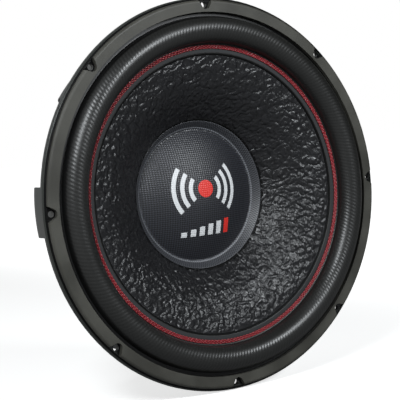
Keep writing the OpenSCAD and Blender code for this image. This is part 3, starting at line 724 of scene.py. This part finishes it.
outer_foot = [(181.2, -1.1), (179.0, -1.1), (177.2, -1.1), (176.3, -1.2), (175.6, -1.7), (175.3, -2.5)]
half_round = []
for i in range(roll_steps + 1):
    bend = math.pi * i / roll_steps
    half_round.append((roll_radius + roll_height * math.cos(bend), roll_depth - roll_height * math.sin(bend)))
inner_foot = [(150.5, -2.2), (150.5, -1.0), (150.2, 0.1), (149.4, 0.7), (148.4, 0.76)]
lip = [(r, cone_depth(r) - 0.75) for r in (147.4 + (lip_ends - 147.4) * i / 10 for i in range(11))]
surround_mesh = turned(outer_foot + half_round + inner_foot + lip, 512)
wrap(surround_mesh)
surround = piece("surround_roll", surround_mesh, woven_rubber)
bend_with_cone(surround, lambda r: 1 - ease(r, 150.6, 175.3))
thickness = surround.modifiers.new("rubber_thickness", "SOLIDIFY")
thickness.thickness, thickness.offset = skin * MM, 0.0
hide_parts("surround")

# Painted shade: a near-black bead at the lip's inner edge, partly glue, stands for the shaded groove next to
# the cone.
lip_bead = turned([(r, cone_depth(r) - height) for r, height in (
    (140.2, 0.2), (140.0, 1.0), (139.2, 0.9), (138.5, 0.5), (138.1, 0.0), (138.4, -0.2))], 256, closed=True)
lip_glue_shadow = piece("lip_glue_shadow", lip_bead, shadow_dull_adhesive)
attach(lip_glue_shadow, "moving_cone")

# ---- Stitching ----
# Three rows of dark red thread are sewn side by side round the lip. Each stitch is a short,
# plump length of twisted thread that dips at both ends.

thread = Finish("red_thread", None, None, specular_ior_level=0.7, sheen_weight=0.12,
    sheen_roughness=0.5, sheen_tint=(1.0, 0.5, 0.5, 1.0))
twist = thread.mottle(thread.place(), 900.0, 3.0, 0.6)
thread.colour = thread.between((0.16, 0.006, 0.011), (0.34, 0.017, 0.026), twist.fade(0.2, 0.8))
thread.roughness = twist.fade(0.2, 0.8, 0.3, 0.5)
red_thread = thread.done(thread.relief(twist, 0.1))

stitch_rows, stitches_in_row, stitch_slant, stitch_height = (144.95, 146.25, 147.55), 240, 9, 2.0
half_width, half_thickness, half_length_share = 0.7, 0.76, 0.62
stitches = bmesh.new()
slanted = Matrix.Rotation(math.radians(stitch_slant), 3, "Y")
for row, r in enumerate(stitch_rows):
    half_length = half_length_share * math.tau * r / stitches_in_row
    for i in range(stitches_in_row):
        angle = math.tau * (i + row / len(stitch_rows)) / stitches_in_row
        made = bmesh.ops.create_icosphere(stitches, subdivisions=1, radius=1.0)["verts"]
        bmesh.ops.scale(stitches, verts=made, vec=Vector((half_width, half_thickness, half_length)) * MM)
        bmesh.ops.rotate(stitches, verts=made, cent=(0, 0, 0), matrix=slanted)
        bmesh.ops.translate(stitches, verts=made, vec=(r * MM, (cone_depth(r) - stitch_height) * MM, 0))
        bmesh.ops.rotate(stitches, verts=made, cent=(0, 0, 0), matrix=Matrix.Rotation(angle, 3, "Y"))
lip_stitches = piece("lip_stitches", stitches, red_thread)
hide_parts("stitching")
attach(lip_stitches, "moving_cone")

# ---- Dust cap ----
# A dome of woven cloth pressed with a sloping lip, lacquered black and glued on the cone. Its
# only decoration is printed in white and red: arcs round a disc, over a row of rising bars.

cap_edge, cap_crease, dome_height, cap_cloth = 74.8, 67.6, 20.0, 0.8
warp_pitch, weft_pitch, lip_threads_round, seam_stitches_round = 2.44, 2.1, 190, 170
cap = Finish("cap_weave", None, None, specular_ior_level=0.5, coat_ior=1.6, coat_roughness=0.48)
radius, turns, _ = cap.polar()
cap_x, _, cap_z = cap.parts(cap.place())
across, upwards = cap_x * 1000, cap_z * 1000
warp, weft = (across / warp_pitch).wave(), (upwards / weft_pitch).wave()
threads = (warp + weft) * 0.24 + 0.5
lip_threads = turns * lip_threads_round
radial = ((lip_threads + radius / 3).wave() + (lip_threads - radius / 3).wave()) * 0.11 + 0.5
on_lip = radius.fade(67.2, 67.8)
threads = threads + (radial - threads) * on_lip
cap.roughness = threads.fade(0.2, 0.8, 0.62, 0.34)
cap.give(cap.shader.inputs["Coat Weight"], threads.fade(0.2, 0.8, 0.0, 0.45))


def either(*masks):
    """1 where any of the masks is 1."""
    whole = masks[0]
    for mask in masks[1:]:
        whole = whole.sum("MAXIMUM", mask)
    return whole


def bar(middle, tall):
    """One printed bar, as wide as all of them and standing on their common foot."""
    return within(across, middle, bar_width / 2) * within(upwards, bar_foot + tall / 2, tall / 2)


disc_up, arc_radii, half_arc_width, bar_width, bar_foot = 6.0, (17.0, 26.0, 35.0), 2.2, 6.0, -41.0
disc_upwards = upwards - disc_up
from_disc = (across * across + disc_upwards * disc_upwards).sum("SQRT")
at_the_sides = (across.size() / (from_disc + 0.01)).fade(0.76, 0.79)
arcs = either(*(within(from_disc, r, half_arc_width) for r in arc_radii)) * at_the_sides
white_bars = either(bar(-25.0, 5.0), bar(-15.0, 7.0), bar(-5.0, 9.0), bar(5.0, 11.0), bar(15.0, 13.0))
red_bar = bar(25.0, 15.0)
disc = from_disc.fade(8.6, 8.9, 1.0, 0.0)
# Painted sheen: the lip is painted a lighter grey than the dome, and the dome's bluish tone is partly painted
# sheen too.
lacquer_and_sheen = cap.between((0.015, 0.017, 0.026), (0.078, 0.082, 0.095), on_lip)
plain = cap.between((0.001, 0.001, 0.0015), lacquer_and_sheen, threads.fade(0.25, 0.85))
# A lighter dashed ring round the crease: partly a seam, partly a painted highlight where the fold catches the
# light.
dashes = (turns * seam_stitches_round).wave().fade(-0.8, 0.2, 0.2, 1.0)
seam_and_highlight = (radius - 67.8).size().fade(0.4, 0.8, 1.0, 0.0) * dashes
with_seam_and_highlight = cap.between(plain, (0.13, 0.135, 0.15), seam_and_highlight)
white_print = cap.between(with_seam_and_highlight, (0.62, 0.63, 0.64), either(arcs, white_bars))
cap.colour = cap.between(white_print, (0.62, 0.02, 0.012), either(disc, red_bar))
cap_weave = cap.done(cap.relief(threads, 0.28))

crease_depth = face_depth(cap_crease) - 0.95
dome = (cap_crease * cap_crease + dome_height * dome_height) / (2 * dome_height)


def dome_depth(r, under=0.0):
    """Depth of the dome's face, or of a face that lies so far under it."""
    return crease_depth - dome_height + dome - math.sqrt((dome - under) ** 2 - r * r)


front = [(r, dome_depth(r)) for r in (66.9 * i / 40 for i in range(41))]
front += [(r, crease_depth - height)
    for r, height in ((67.1, 0.9), (67.6, 1.45), (68.3, 1.75), (68.8, 1.7))]
front += [(r, face_depth(r) - 1.1) for r in (69.2, 70.5, 71.8, 73.1, 74.3)]
front += [(cap_edge, face_depth(cap_edge) - 0.85)]
rear = [(r, face_depth(r) - height) for r, height in ((cap_edge, 0.3), (71.0, 0.2), (68.0, 0.2))]
rear += [(r, dome_depth(r, cap_cloth)) for r in (66.0 - 66.0 * i / 16 for i in range(17))]
cap_shell = piece("cap_dome", turned(front + rear, 256), cap_weave)
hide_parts("dust_cap")
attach(cap_shell, "moving_cone")

bead_waver = 0.0012
# Painted shadow: a near-black bead round the cap's edge, partly glue, stands for the shadow under its lip.
cap_bead = turned([(r, face_depth(r) - height) for r, height in (
    (74.75, 0.1), (74.8, 0.75), (75.3, 0.8), (76.2, 0.6), (77.2, 0.1), (77.0, -0.2))], 256, closed=True)
for point in cap_bead.verts:
    point.co *= 1 + bead_waver * noise.noise(point.co / MM / 5)
cap_glue_shadow = piece("cap_glue_shadow", cap_bead, shadow_dull_adhesive)
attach(cap_glue_shadow, "moving_cone")

# ---- Gaskets ----
# Rings of dense foam are glued to the flange, front and back, notched and holed for the screws.
# A thin bead of the adhesive is squeezed out round the front one; its near-black stands partly for the shaded
# groove there, a painted shadow.

foam = Finish("gasket_foam", None, None, specular_ior_level=0.36)
cells = foam.mottle(foam.place(), 1300.0, 2.0)
marks = foam.mottle(foam.place(), 25.0, 4.0)
foam.colour = foam.between((0.033, 0.032, 0.0265), (0.055, 0.0535, 0.045), marks.fade(0.3, 0.7))
foam.roughness = marks.fade(0.3, 0.7, 0.43, 0.52)
dress(["front_gasket", "rear_gasket"], foam.done(foam.relief(cells, 0.08)))

gasket_bead = turned([(191.9, -1.55), (192.0, -3.2), (192.7, -3.0), (193.5, -2.0), (193.7, -1.5)],
    256, closed=True)
gasket_glue_shadow = piece("gasket_glue_shadow", gasket_bead, shadow_dull_adhesive)
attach(gasket_glue_shadow, "frame")
